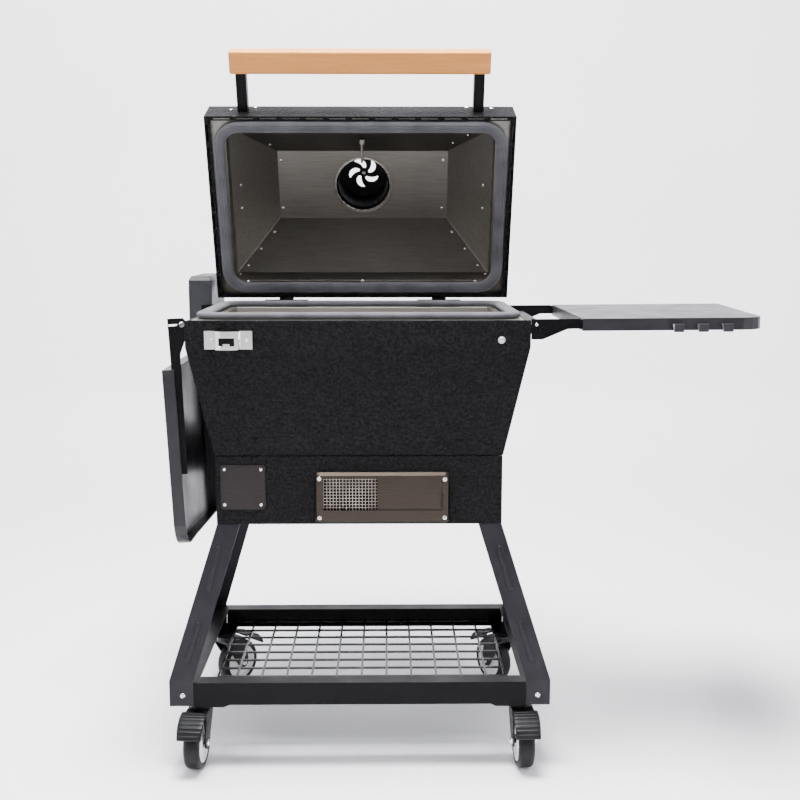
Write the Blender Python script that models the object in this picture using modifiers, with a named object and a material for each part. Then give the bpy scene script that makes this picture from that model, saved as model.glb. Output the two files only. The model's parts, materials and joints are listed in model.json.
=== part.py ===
"""Pellet smoker grill on a four-leg cart: lid propped open, right shelf raised, left shelf folded down."""
import math

import bmesh
import bpy
from mathutils import Matrix, Vector

# Driving dimensions in metres. "Depth" is measured back from the front plane of the cart.
FRAME_W = 0.722
FRAME_D = 0.446
RAIL_LOW = 0.130
RAIL_TOP = 0.174
SHEET = 0.003
GAP = 0.0003
FRONT = -FRAME_D / 2

BODY_W = 0.625
BODY_SIDE = 0.3045
BODY_D = 0.388
BODY_TOP = 0.860
CREASE_Z = 0.811
SEAM_Z = 0.607
BASE_HALF = 0.2665
BASE_FRONT = 0.022
BASE_LOW = 0.477

LID_HALF = 0.311
LID_LEN = 0.390
LID_BAND = 0.081
LID_HIGH = 0.187
LID_OPEN = math.radians(70.0)
HINGE_DEPTH = 0.394
HINGE_Z = 0.8685
LID_BACK = 0.006
LID_RISE = 0.0085
FLUE_BACK = 0.196

SHELF_D = 0.384
SHELF_H = 0.0222
PIVOT_X = 0.334
PIVOT_Z = 0.843

CASTER_X = 0.311
CASTER_IN = 0.045
WHEEL_R = 0.050
WHEEL_TRAIL = 0.032

parts = bpy.data.collections.new("pellet_smoker_grill")
cutters = bpy.data.collections.new("cutters")
palette = {}


def clear_scene():
    for item in list(bpy.data.objects):
        bpy.data.objects.remove(item, do_unlink=True)
    bpy.context.scene.collection.children.link(parts)
    bpy.context.scene.collection.children.link(cutters)


def finish(name, colour, metallic=0.0, roughness=0.5):
    material = bpy.data.materials.new(name)
    material.use_nodes = True
    shader = material.node_tree.nodes["Principled BSDF"]
    shader.inputs["Base Color"].default_value = (*colour, 1.0)
    shader.inputs["Metallic"].default_value = metallic
    shader.inputs["Roughness"].default_value = roughness
    return material


def make_palette():
    palette["body"] = ((0.022, 0.022, 0.025), 0.0, 0.75)
    palette["frame"] = ((0.030, 0.029, 0.033), 0.0, 0.5)
    palette["steel"] = ((0.42, 0.40, 0.37), 1.0, 0.35)
    palette["rope"] = ((0.09, 0.09, 0.10), 0.0, 0.95)
    palette["wood"] = ((0.62, 0.38, 0.17), 0.0, 0.5)
    palette["wheel"] = ((0.012, 0.012, 0.013), 0.0, 0.6)
    palette["iron"] = ((0.015, 0.015, 0.015), 0.2, 0.7)


def own_material(obj, look):
    obj.data.materials.clear()
    obj.data.materials.append(finish(obj.name + "_finish", *palette[look]))


def tidy_mesh(mesh):
    work = bmesh.new()
    work.from_mesh(mesh)
    bmesh.ops.remove_doubles(work, verts=work.verts, dist=0.00001)
    bmesh.ops.recalc_face_normals(work, faces=work.faces)
    work.to_mesh(mesh)
    work.free()


def add_part(name, verts, faces, look, group=None):
    mesh = bpy.data.meshes.new(name)
    mesh.from_pydata([tuple(v) for v in verts], [], faces)
    mesh.validate()
    tidy_mesh(mesh)
    obj = bpy.data.objects.new(name, mesh)
    (group or parts).objects.link(obj)
    if group is None:
        own_material(obj, look)
    return obj


def loft(name, rings, look="body", closed=False, group=None):
    count = len(rings[0])
    verts = [point for ring in rings for point in ring]
    faces = []
    spans = len(rings) if closed else len(rings) - 1
    for level in range(spans):
        low = level * count
        high = ((level + 1) % len(rings)) * count
        for i in range(count):
            j = (i + 1) % count
            faces.append((low + i, low + j, high + j, high + i))
    if not closed:
        faces.append(tuple(range(count)))
        faces.append(tuple(range(len(verts) - count, len(verts))))
    return add_part(name, verts, faces, look, group)


def rect(x0, x1, y0, y1, z, radius=0.0, steps=5):
    if radius <= 0.0:
        return [(x0, y0, z), (x1, y0, z), (x1, y1, z), (x0, y1, z)]
    points = []
    corners = (
        (x1 - radius, y0 + radius, -90),
        (x1 - radius, y1 - radius, 0),
        (x0 + radius, y1 - radius, 90),
        (x0 + radius, y0 + radius, 180),
    )
    for cx, cy, start in corners:
        for step in range(steps + 1):
            angle = math.radians(start + 90 * step / steps)
            points.append((cx + radius * math.cos(angle), cy + radius * math.sin(angle), z))
    return points


def box(name, x0, x1, y0, y1, z0, z1, look="body", group=None):
    return loft(name, [rect(x0, x1, y0, y1, z0), rect(x0, x1, y0, y1, z1)], look, group=group)


def prism(name, outline, low, high, axis, look="body", group=None):
    """Extrude a two-value outline along the named axis."""
    rings = []
    for level in (low, high):
        if axis == "x":
            rings.append([(level, u, v) for u, v in outline])
        elif axis == "y":
            rings.append([(u, level, v) for u, v in outline])
        else:
            rings.append([(u, v, level) for u, v in outline])
    return loft(name, rings, look, group=group)


def circle(centre, radius, axis, count=24, turn=0.0):
    points = []
    for i in range(count):
        angle = turn + 2 * math.pi * i / count
        u = radius * math.cos(angle)
        v = radius * math.sin(angle)
        offset = {"x": (0, u, v), "y": (u, 0, v), "z": (u, v, 0)}[axis]
        points.append(tuple(c + o for c, o in zip(centre, offset)))
    return points


def rod(name, start, end, radius, axis, look="steel", count=24, group=None):
    rings = [circle(start, radius, axis, count), circle(end, radius, axis, count)]
    return loft(name, rings, look, group=group)


def spun(name, profile, centre, axis, look, count=20, closed=True):
    """Turn (radius, distance along axis) pairs round the axis."""
    shift = {"x": Vector((1, 0, 0)), "y": Vector((0, 1, 0)), "z": Vector((0, 0, 1))}[axis]
    rings = []
    for radius, along in profile:
        rings.append(circle(Vector(centre) + shift * along, radius, axis, count))
    return loft(name, rings, look, closed=closed)


def combine(obj, other, operation):
    modifier = obj.modifiers.new(operation.lower() + "_" + other.name, "BOOLEAN")
    modifier.operation = operation
    modifier.solver = "EXACT"
    modifier.object = other
    other.hide_render = True
    other.display_type = "WIRE"
    return obj


def bake(obj):
    """Turn the modifiers into plain mesh so the copy can be moved freely."""
    bpy.context.view_layer.update()
    graph = bpy.context.evaluated_depsgraph_get()
    fresh = bpy.data.meshes.new_from_object(obj.evaluated_get(graph))
    old = obj.data
    tools = [m.object for m in obj.modifiers if m.type == "BOOLEAN"]
    obj.modifiers.clear()
    obj.data = fresh
    fresh.name = old.name
    bpy.data.meshes.remove(old)
    tidy_mesh(fresh)
    for tool in tools:
        if tool.name in cutters.objects:
            bpy.data.objects.remove(tool, do_unlink=True)
    return obj


def join(obj, *others):
    for other in others:
        combine(obj, other, "UNION")
    return bake(obj)


def cut(obj, *others):
    for other in others:
        combine(obj, other, "DIFFERENCE")
    return bake(obj)


def origin_at(obj, point, turn=None):
    """Move the mesh so its local origin is the given world point."""
    obj.data.transform(Matrix.Translation(-Vector(point)))
    obj.location = point
    if turn is not None:
        obj.rotation_euler = turn
    return obj


def round_shade(obj, angle=35.0):
    for face in obj.data.polygons:
        face.use_smooth = True
    obj.data.set_sharp_from_angle(angle=math.radians(angle))
    return obj


def at(depth):
    return FRONT + depth


def grid(name, xs, ys, half, z0, z1, look):
    """Welded bars in two directions as one closed body."""
    verts = []
    index = {}
    for ix, x in enumerate(xs):
        for iy, y in enumerate(ys):
            for layer, z in enumerate((z0, z1)):
                for sx in (-1, 1):
                    for sy in (-1, 1):
                        index[ix, iy, layer, sx, sy] = len(verts)
                        verts.append((x + sx * half, y + sy * half, z))
    faces = []
    last_x = len(xs) - 1
    last_y = len(ys) - 1
    around = ((0, -1), (0, 1), (1, 1), (1, -1))
    for ix in range(len(xs)):
        for iy in range(len(ys)):
            def at_node(layer, sx, sy):
                return index[ix, iy, layer, sx, sy]
            for layer in (0, 1):
                faces.append(tuple(at_node(layer, *s) for s in ((-1, -1), (1, -1), (1, 1), (-1, 1))))
            if ix < last_x:
                for layer in (0, 1):
                    faces.append((
                        index[ix, iy, layer, 1, -1], index[ix + 1, iy, layer, -1, -1],
                        index[ix + 1, iy, layer, -1, 1], index[ix, iy, layer, 1, 1]))
                for sy in (-1, 1):
                    faces.append((
                        index[ix, iy, 0, 1, sy], index[ix + 1, iy, 0, -1, sy],
                        index[ix + 1, iy, 1, -1, sy], index[ix, iy, 1, 1, sy]))
            else:
                faces.append(tuple(index[ix, iy, layer, 1, s] for layer, s in around))
            if ix == 0:
                faces.append(tuple(index[ix, iy, layer, -1, s] for layer, s in around))
            if iy < last_y:
                for layer in (0, 1):
                    faces.append((
                        index[ix, iy, layer, -1, 1], index[ix, iy, layer, 1, 1],
                        index[ix, iy + 1, layer, 1, -1], index[ix, iy + 1, layer, -1, -1]))
                for sx in (-1, 1):
                    faces.append((
                        index[ix, iy, 0, sx, 1], index[ix, iy + 1, 0, sx, -1],
                        index[ix, iy + 1, 1, sx, -1], index[ix, iy, 1, sx, 1]))
            else:
                faces.append(tuple(index[ix, iy, layer, s, 1] for layer, s in around))
            if iy == 0:
                faces.append(tuple(index[ix, iy, layer, s, -1] for layer, s in around))
    return add_part(name, verts, faces, look)


# Cart frame

def make_cross_rail(name, side):
    """Front rail for side -1, rear rail for side 1: web, top flange, bottom ledge, corner lips."""
    half = 0.3147
    lip = 0.1255
    outline = [
        (-half, lip), (-0.258, lip), (-0.248, RAIL_LOW), (0.248, RAIL_LOW), (0.258, lip),
        (half, lip), (half, RAIL_TOP), (-half, RAIL_TOP),
    ]
    edge = side * FRAME_D / 2
    web = prism(name, outline, edge, edge - side * SHEET, "y", "frame")
    inner = edge - side * 0.0325
    shelf = box("flange_tool", -0.3063, 0.3063, min(edge, inner), max(edge, inner),
                RAIL_TOP - SHEET, RAIL_TOP, group=cutters)
    ledge = edge - side * 0.024
    foot = box("ledge_tool", -0.2895, 0.2895, min(edge, ledge), max(edge, ledge),
               RAIL_LOW, RAIL_LOW + SHEET, group=cutters)
    return join(web, shelf, foot)


def make_side_rail(name, side):
    """Side rail with a wide corner plate at each end for the caster stems."""
    web_out = side * 0.3576
    web_in = side * 0.3546
    flange_in = side * 0.3068
    plate_in = side * 0.2903
    lip_in = side * 0.3400
    low = FRONT + 0.0034
    high = -low
    rail = box(name, min(web_out, web_in), max(web_out, web_in), low, high, RAIL_LOW, RAIL_TOP, "frame")
    flange = box("flange_tool", min(web_out, flange_in), max(web_out, flange_in), low, high,
                 RAIL_TOP - SHEET, RAIL_TOP, group=cutters)
    plate = [
        (web_out, low), (plate_in, low), (plate_in, low + 0.068), (lip_in, low + 0.098),
        (lip_in, high - 0.098), (plate_in, high - 0.068), (plate_in, high), (web_out, high),
    ]
    corner = prism("corner_tool", plate, RAIL_LOW, RAIL_LOW + SHEET, "z", group=cutters)
    return join(rail, flange, corner)


def make_leg(name, side, end):
    """Bent angle section: upright foot, then a strip leaning in to the base box."""
    thick = SHEET
    rings = []
    top_depth = BASE_FRONT if end < 0 else BODY_D
    stations = (
        (0.1280, FRAME_W / 2, end * FRAME_D / 2, 0.0457, 0.030),
        (0.1775, FRAME_W / 2, end * FRAME_D / 2, 0.0457, 0.030),
        (BASE_LOW - GAP, 0.2663, FRONT + top_depth, 0.0430, 0.030),
    )
    for z, x, y, wide, deep in stations:
        inward_x = -side
        inward_y = -end
        px = side * x
        rings.append([
            (px, y, z),
            (px + inward_x * wide, y, z),
            (px + inward_x * wide, y + inward_y * thick, z),
            (px + inward_x * thick, y + inward_y * thick, z),
            (px + inward_x * thick, y + inward_y * deep, z),
            (px, y + inward_y * deep, z),
        ])
    return loft(name, rings, "frame")


def make_cart():
    make_cross_rail("front_rail", -1)
    make_cross_rail("rear_rail", 1)
    make_side_rail("left_rail", -1)
    make_side_rail("right_rail", 1)
    for row, end in (("front", -1), ("rear", 1)):
        for hand, side in (("left", -1), ("right", 1)):
            make_leg(row + "_" + hand + "_leg", side, end)
    xs = [-0.300 + 0.050 * i for i in range(13)]
    ys = [at(0.0375 + 0.0432 * i) for i in range(9)]
    ys = [at(0.0085)] + ys + [at(FRAME_D - 0.0085)]
    xs[0] = -0.2875
    xs[-1] = 0.2875
    grid("wire_shelf", xs, ys, 0.002, 0.1334, 0.1374, "iron")


# Casters

def make_caster_fork(name):
    plates = []
    outline = [
        (0.016, 0.1085), (0.016, 0.1000), (-0.022, 0.0400), (-0.034, 0.0370), (-0.044, 0.0440),
        (-0.046, 0.0600), (-0.036, 0.1085),
    ]
    fork = box(name, -0.0215, 0.0215, -0.0360, 0.0160, 0.1035, 0.1085, "iron")
    for side in (-1, 1):
        low, high = sorted((side * 0.0183, side * 0.0215))
        plates.append(prism("cheek_tool", outline, low, high, "x", group=cutters))
    bearing = spun("bearing_tool", [(0.021, 0.1080), (0.021, 0.1180), (0.0165, 0.1240), (0.0060, 0.1240),
                                    (0.0060, 0.1296)], (0, 0, 0), "z", "iron", 14, closed=False)
    parts.objects.unlink(bearing)
    cutters.objects.link(bearing)
    axle = rod("axle_tool", (-0.0255, -WHEEL_TRAIL, WHEEL_R), (0.0255, -WHEEL_TRAIL, WHEEL_R),
               0.0040, "x", count=10, group=cutters)
    return join(fork, *plates, bearing, axle)


def make_wheel(name):
    profile = [
        (0.00412, -0.0120), (0.0110, -0.0140), (0.0290, -0.0110), (0.0345, -0.0148), (0.0455, -0.0155),
        (0.0490, -0.0115), (0.0500, -0.0045), (0.0500, 0.0045), (0.0490, 0.0115), (0.0455, 0.0155),
        (0.0345, 0.0148), (0.0290, 0.0110), (0.0110, 0.0140), (0.00412, 0.0120),
    ]
    wheel = spun(name, profile, (0, -WHEEL_TRAIL, WHEEL_R), "x", "wheel", 20)
    return round_shade(wheel, 30.0)


def make_pedal(name):
    outline = [
        (-0.0365, 0.1140), (-0.0600, 0.1115), (-0.0800, 0.1000), (-0.0930, 0.0800), (-0.0905, 0.0785),
        (-0.0770, 0.0960), (-0.0590, 0.1065), (-0.0365, 0.1092),
    ]
    return prism(name, outline, -0.0265, 0.0265, "x", "iron")


def make_casters():
    spots = (
        ("front_left", -1, -1, -5.0),
        ("front_right", 1, -1, 3.0),
        ("rear_left", -1, 1, 140.0),
        ("rear_right", 1, 1, -149.0),
    )
    for label, side, end, yaw in spots:
        where = Vector((side * CASTER_X, end * (FRAME_D / 2 - CASTER_IN), 0.0))
        turn = Matrix.Translation(where) @ Matrix.Rotation(math.radians(yaw), 4, "Z")
        pivots = (
            (make_caster_fork(label + "_fork"), Vector((0, 0, 0.118))),
            (make_wheel(label + "_wheel"), Vector((0, -WHEEL_TRAIL, WHEEL_R))),
            (make_pedal(label + "_brake"), Vector((0, -0.0365, 0.1116))),
        )
        for obj, pivot in pivots:
            obj.data.transform(Matrix.Translation(-pivot))
            obj.location = turn @ pivot
            obj.rotation_euler = (0, 0, math.radians(yaw))


# Body

def make_body_shell():
    side = BODY_SIDE
    base = BASE_HALF - 0.004
    front = 0.0034
    rings = [
        rect(-base, base, at(BASE_FRONT + front), at(BODY_D), SEAM_Z + 0.001),
        rect(-side, side, at(front), at(BODY_D), CREASE_Z),
        rect(-side, side, at(front), at(BODY_D), BODY_TOP),
        rect(-side + 0.002, side - 0.002, at(front + 0.002), at(BODY_D - 0.002), BODY_TOP),
        rect(-side + 0.002, side - 0.002, at(front + 0.002), at(BODY_D - 0.002), CREASE_Z),
        rect(-base + 0.002, base - 0.002, at(BASE_FRONT + front + 0.002), at(BODY_D - 0.002), SEAM_Z + 0.003),
    ]
    loft("body_shell", rings)


def make_front_panel():
    half = BODY_W / 2
    rings = []
    levels = (
        (SEAM_Z + 0.001, BASE_HALF + 0.001, BASE_FRONT),
        (CREASE_Z, half, 0.0),
        (BODY_TOP, half, 0.0),
    )
    for z, wide, depth in levels:
        rings.append(rect(-wide, wide, at(depth), at(depth + SHEET), z))
    loft("front_panel", rings)


def make_base_box():
    half = BASE_HALF
    wall = SHEET
    top = SEAM_Z - 0.0005
    rings = [
        rect(-half, half, at(BASE_FRONT), at(BODY_D), BASE_LOW),
        rect(-half, half, at(BASE_FRONT), at(BODY_D), top),
        rect(-half + wall, half - wall, at(BASE_FRONT + wall), at(BODY_D - wall), top),
        rect(-half + wall, half - wall, at(BASE_FRONT + wall), at(BODY_D - wall), BASE_LOW + wall),
    ]
    shell = loft("base_box", rings)
    window = box("window_tool", -0.062, 0.030, at(BASE_FRONT - 0.01), at(BASE_FRONT + 0.01),
                 0.508, 0.564, group=cutters)
    cut(shell, window)


def make_body_liner():
    low = 0.672
    wall = 0.0015
    rings = [
        rect(-0.2065, 0.2065, at(0.0835), at(0.3045), low - wall),
        rect(-0.2655, 0.2655, at(0.0435), at(0.3445), BODY_TOP - wall),
        rect(-0.3020, 0.3020, at(0.0059), at(0.3855), BODY_TOP - wall),
        rect(-0.3020, 0.3020, at(0.0059), at(0.3855), BODY_TOP),
        rect(-0.2640, 0.2640, at(0.0450), at(0.3430), BODY_TOP),
        rect(-0.2050, 0.2050, at(0.0850), at(0.3030), low),
    ]
    loft("body_liner", rings, "steel")


def rope_ring(name, half_x, y0, y1, z0, wide, high, radius, look="rope"):
    """Flattened rope laid in a rounded rectangle; the half sizes are to its centre line."""
    section = []
    for i in range(10):
        angle = 2 * math.pi * i / 10
        u = wide / 2 * math.copysign(abs(math.cos(angle)) ** 0.75, math.cos(angle))
        v = high / 2 * math.copysign(abs(math.sin(angle)) ** 0.75, math.sin(angle))
        section.append((u, v))
    rings = []
    top = max(v for _, v in section)
    for u, v in section:
        level = z0 + (v / top + 1) * high / 2
        rings.append(rect(-half_x - u, half_x + u, y0 - u, y1 + u, level, radius + u, 4))
    return round_shade(loft(name, rings, look, closed=True), 60.0)


def make_body_seal():
    rope_ring("body_gasket", 0.288, at(0.022), at(0.366), BODY_TOP + GAP, 0.024, 0.0130, 0.040)


def make_cooking_parts():
    xs = [-0.2512, 0.0, 0.2512]
    ys = [at(0.0545 + 0.02536 * i) for i in range(12)]
    grid("cooking_grate", xs, ys, 0.0025, 0.8300, 0.8350, "steel")
    rings = [
        rect(-0.190, 0.190, at(0.108), at(0.280), 0.7500),
        rect(-0.190, 0.190, at(0.108), at(0.280), 0.7525),
    ]
    flat = loft("heat_baffle", rings, "iron")
    legs = []
    for sx in (-1, 1):
        for depth in (0.112, 0.271):
            x = sx * 0.176
            legs.append(box("baffle_foot_tool", x - 0.004, x + 0.004, at(depth), at(depth + 0.005),
                            0.6723, 0.7510, group=cutters))
    join(flat, *legs)
    profile = [(0.030, 0.6723), (0.045, 0.6723), (0.060, 0.7300), (0.057, 0.7300), (0.0425, 0.6753),
               (0.030, 0.6753)]
    pot = spun("fire_pot", profile, (0.0, at(0.194), 0.0), "z", "iron", 20, closed=True)
    round_shade(pot)


def make_opener():
    face = FRONT - GAP
    thick = 0.0022
    centre = -0.2353
    hat = [
        (-0.2771, 0.0), (-0.2567, 0.0), (-0.2537, 0.0120), (-0.2445, 0.0165), (-0.2261, 0.0165),
        (-0.2169, 0.0120), (-0.2139, 0.0), (-0.1906, 0.0),
    ]
    outer = [
        (-0.1906, thick), (-0.2122, thick), (-0.2151, 0.0136), (-0.2255, 0.0187), (-0.2451, 0.0187),
        (-0.2555, 0.0136), (-0.2584, thick), (-0.2771, thick),
    ]
    outline = [(x, face - d) for x, d in hat + outer]
    opener = prism("bottle_opener", outline, 0.8080, 0.8413, "z", "steel")
    mouth = box("mouth_tool", -0.2495, -0.2211, face - 0.03, face - 0.008, 0.8150, 0.8295, group=cutters)
    tooth = box("tooth_tool", centre - 0.006, centre + 0.006, face - 0.0187, face - 0.0166,
                0.8140, 0.8190, group=cutters)
    cut(opener, mouth)
    join(opener, tooth)


def make_base_fittings():
    face = BASE_FRONT - GAP
    plate = [rect(-0.2576, -0.1745, 0.5058, 0.5900, 0.0, 0.006, 3)]
    outline = [(x, z) for x, z, _ in plate[0]]
    prism("access_plate", outline, at(face - 0.0015), at(face), "y", "steel")

    outer = [(x, z) for x, z, _ in rect(-0.0838, 0.1696, 0.4793, 0.5766, 0.0, 0.008, 3)]
    raised = [(x, z) for x, z, _ in rect(-0.0790, 0.1650, 0.4845, 0.5714, 0.0, 0.006, 3)]
    rings = [
        [(x, at(face), z) for x, z in outer],
        [(x, at(face - 0.0015), z) for x, z in outer],
        [(x, at(face - 0.0090), z) for x, z in raised],
    ]
    frame = loft("vent_frame", rings, "steel")
    window = box("window_tool", -0.0660, 0.1550, at(face - 0.02), at(face + 0.01),
                 0.5055, 0.5660, group=cutters)
    pocket = box("pocket_tool", -0.0740, 0.1602, at(face - 0.0072), at(face + 0.01),
                 0.4990, 0.5722, group=cutters)
    cut(frame, window, pocket)

    box("vent_mesh", -0.0735, 0.0400, at(face - 0.0014), at(face), 0.4995, 0.5717, "steel")
    slider = box("vent_slider", 0.0335, 0.1560, at(face - 0.0064), at(face - 0.0044), 0.4996, 0.5716, "steel")
    tab = box("tab_tool", 0.1520, 0.1536, at(face - 0.0160), at(face - 0.0050), 0.5110, 0.5350, group=cutters)
    join(slider, tab)
    origin_at(slider, (0.0335, at(face - 0.0054), 0.5356))


# Pellet feed at the rear left corner

def make_feed():
    box("feed_housing", -0.3720, -0.0600, at(BODY_D + GAP), at(0.480), 0.500, 0.5997)
    x0, x1 = -0.3720, -0.3225
    y0, y1 = at(0.3900), at(0.5750)
    wall = 0.002
    rings = [
        rect(x0, x1, y0, y1, 0.6000),
        rect(x0, x1, y0, y1, 0.9040),
        rect(x0 + wall, x1 - wall, y0 + wall, y1 - wall, 0.9040),
        rect(x0 + wall, x1 - wall, y0 + wall, y1 - wall, 0.6020),
    ]
    loft("pellet_hopper", rings)
    rings = [
        rect(x0, x1, y0, y1, 0.9043),
        rect(x0, x1, y0, y1, 0.9140),
        rect(x0 + 0.005, x1 - 0.005, y0 + 0.006, y1 - 0.006, 0.9230),
        rect(x0 + 0.007, x1 - 0.007, y0 + 0.008, y1 - 0.008, 0.9212),
        rect(x0 + wall, x1 - wall, y0 + wall, y1 - wall, 0.9130),
        rect(x0 + wall, x1 - wall, y0 + wall, y1 - wall, 0.9043),
    ]
    count = len(rings[0])
    verts = [p for ring in rings for p in ring]
    faces = []
    for low, high in ((0, 1), (1, 2), (3, 4), (4, 5), (5, 0)):
        for i in range(count):
            j = (i + 1) % count
            faces.append((low * count + i, low * count + j, high * count + j, high * count + i))
    faces.append(tuple(range(2 * count, 3 * count)))
    faces.append(tuple(range(3 * count, 4 * count)))
    cap = add_part("hopper_lid", verts, faces, "body")
    origin_at(cap, (-0.34725, y1, 0.9043))


# Lid, drawn closed about its hinge axis and then swung open

def lid_rect(x0, x1, near, far, rise, radius=0.0, steps=5):
    return rect(x0, x1, -LID_BACK - far, -LID_BACK - near, LID_RISE + rise, radius, steps)


def swing(obj):
    obj.location = (0.0, at(HINGE_DEPTH), HINGE_Z)
    obj.rotation_euler = (-LID_OPEN, 0.0, 0.0)
    return obj


def rim_slots():
    """Cutters for the row of slots round the lid's turned-in rim."""
    low = LID_RISE - 0.001
    high = LID_RISE + SHEET + 0.001
    slots = []
    for i in range(13):
        x = 0.046 * (i - 6)
        slots.append(box("slot_tool", x - 0.0165, x + 0.0165, -LID_BACK - 0.3864, -LID_BACK - 0.3836,
                         low, high, group=cutters))
    for i in range(8):
        y = -LID_BACK - 0.034 - 0.046 * i
        for side in (-1, 1):
            x0, x1 = sorted((side * 0.3045, side * 0.3073))
            slots.append(box("slot_tool", x0, x1, y - 0.0165, y + 0.0165, low, high, group=cutters))
    return slots


def make_lid_shell():
    half = LID_HALF
    t = SHEET
    rings = [
        lid_rect(-0.1975, 0.1975, 0.1105, 0.2815, LID_HIGH - t),
        lid_rect(-half + t, half - t, t, LID_LEN - t, LID_BAND),
        lid_rect(-half + t, half - t, t, LID_LEN - t, t),
        lid_rect(-0.2990, 0.2990, 0.0075, LID_LEN - 0.0088, t),
        lid_rect(-0.2990, 0.2990, 0.0075, LID_LEN - 0.0088, 0.0),
        lid_rect(-half, half, 0.0, LID_LEN, 0.0),
        lid_rect(-half, half, 0.0, LID_LEN, LID_BAND),
        lid_rect(-0.200, 0.200, 0.108, 0.284, LID_HIGH),
    ]
    shell = loft("lid_shell", rings)
    top = LID_RISE + LID_HIGH
    ends = [(0, -LID_BACK - FLUE_BACK, top + step) for step in (-0.02, 0.02)]
    hole = rod("flue_tool", *ends, 0.0550, "z", count=32, group=cutters)
    swing(cut(shell, hole, *rim_slots()))


def make_lid_liner():
    rings = [
        lid_rect(-0.1860, 0.1860, 0.1190, 0.2730, 0.1715),
        lid_rect(-0.2735, 0.2735, 0.0345, 0.3555, 0.0550),
        lid_rect(-0.2735, 0.2735, 0.0345, 0.3555, 0.0118),
        lid_rect(-0.3070, 0.3070, 0.0040, 0.3860, 0.0118),
        lid_rect(-0.3070, 0.3070, 0.0040, 0.3860, 0.0103),
        lid_rect(-0.2720, 0.2720, 0.0360, 0.3540, 0.0103),
        lid_rect(-0.2720, 0.2720, 0.0360, 0.3540, 0.0550),
        lid_rect(-0.1850, 0.1850, 0.1200, 0.2720, 0.1700),
    ]
    liner = loft("lid_liner", rings, "steel")
    level = LID_RISE + 0.170
    ends = [(0, -LID_BACK - FLUE_BACK, level + step) for step in (-0.02, 0.02)]
    hole = rod("hole_tool", *ends, 0.0600, "z", count=32, group=cutters)
    swing(cut(liner, hole))


def make_lid_trim():
    rope = rope_ring("lid_gasket", 0.2855, -LID_BACK - 0.3680, -LID_BACK - 0.0220, LID_RISE - 0.0030,
                     0.024, 0.0130, 0.042)
    swing(rope)
    centre = (0.0, -LID_BACK - FLUE_BACK, LID_RISE)
    collar = spun("flue_collar", [(0.0587, 0.1668), (0.0628, 0.1668), (0.0628, 0.1697), (0.0597, 0.1697),
                                  (0.0597, 0.1740), (0.0587, 0.1740)], centre, "z", "steel", 28)
    swing(round_shade(collar))
    pipe = spun("flue_pipe", [(0.0550, 0.1873), (0.0640, 0.1873), (0.0640, 0.1895), (0.0570, 0.1895),
                              (0.0570, 0.2586), (0.0550, 0.2586)], centre, "z", "body", 28)
    swing(round_shade(pipe))
    for hand, side in (("left", -1), ("right", 1)):
        x0, x1 = sorted((side * 0.2265, side * 0.2475))
        y0 = -LID_BACK - 0.4647
        y1 = -LID_BACK - LID_LEN - GAP
        post = box("handle_post_" + hand, x0, x1, y0, y1, LID_RISE + 0.034, LID_RISE + 0.058, "frame")
        swing(post)
    low = LID_RISE + 0.030
    bar = box("handle_bar", -0.2585, 0.2585, -LID_BACK - 0.5090, -LID_BACK - 0.4650, low, low + 0.032, "wood")
    bevel = bar.modifiers.new("eased_edges", "BEVEL")
    bevel.width = 0.0035
    bevel.segments = 2
    swing(bake(bar))
    profile = [(0.0005, 0.2660), (0.0028, 0.2685), (0.0028, 0.3080), (0.0075, 0.3080), (0.0075, 0.3180),
               (0.0005, 0.3180)]
    probe = spun("temperature_probe", profile, (0.0, 0.0, 0.0), "z", "steel", 12, closed=False)
    probe.data.transform(Matrix.Rotation(math.radians(90), 4, "X"))
    probe.data.transform(Matrix.Translation((0.0, -LID_BACK, LID_RISE + 0.097)))
    tidy_mesh(probe.data)
    swing(round_shade(probe))


def swirl_slot(turn):
    """Comma-shaped slot outline, round at its outer end."""
    inner = []
    outer = []
    steps = 7
    for i in range(steps + 1):
        share = i / steps
        radius = 0.0105 + 0.0235 * share
        lead = math.radians(40.0) * share ** 1.3
        half = 0.0016 + 0.0062 * math.sin(math.pi * min(share * 0.62 + 0.05, 1.0))
        if i == steps:
            half = half * 0.55
        angle = turn - lead
        heading = Vector((math.cos(angle), math.sin(angle)))
        across = Vector((-heading.y, heading.x))
        centre = heading * radius
        inner.append(centre - across * half)
        outer.append(centre + across * half)
    return [(p.x, p.y) for p in inner + outer[::-1]]


def make_vent_cap():
    level = 0.2589
    profile = [(0.0590, level), (0.0590, level + 0.0030), (0.0570, level + 0.0040)]
    cap = spun("vent_cap", profile, (0, 0, 0), "z", "body", 32, closed=False)
    tools = []
    for i in range(5):
        outline = swirl_slot(math.radians(-11 - 72 * i))
        tools.append(prism("swirl_tool_%d" % i, outline, level - 0.01, level + 0.02, "z", group=cutters))
    cut(cap, *tools)
    cap.data.transform(Matrix.Translation((0, 0, -level)))
    spot = Matrix.Rotation(-LID_OPEN, 4, "X") @ Vector((0.0, -LID_BACK - FLUE_BACK, LID_RISE + level))
    cap.location = Vector((0.0, at(HINGE_DEPTH), HINGE_Z)) + spot
    cap.rotation_euler = (-LID_OPEN, 0.0, 0.0)


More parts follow.
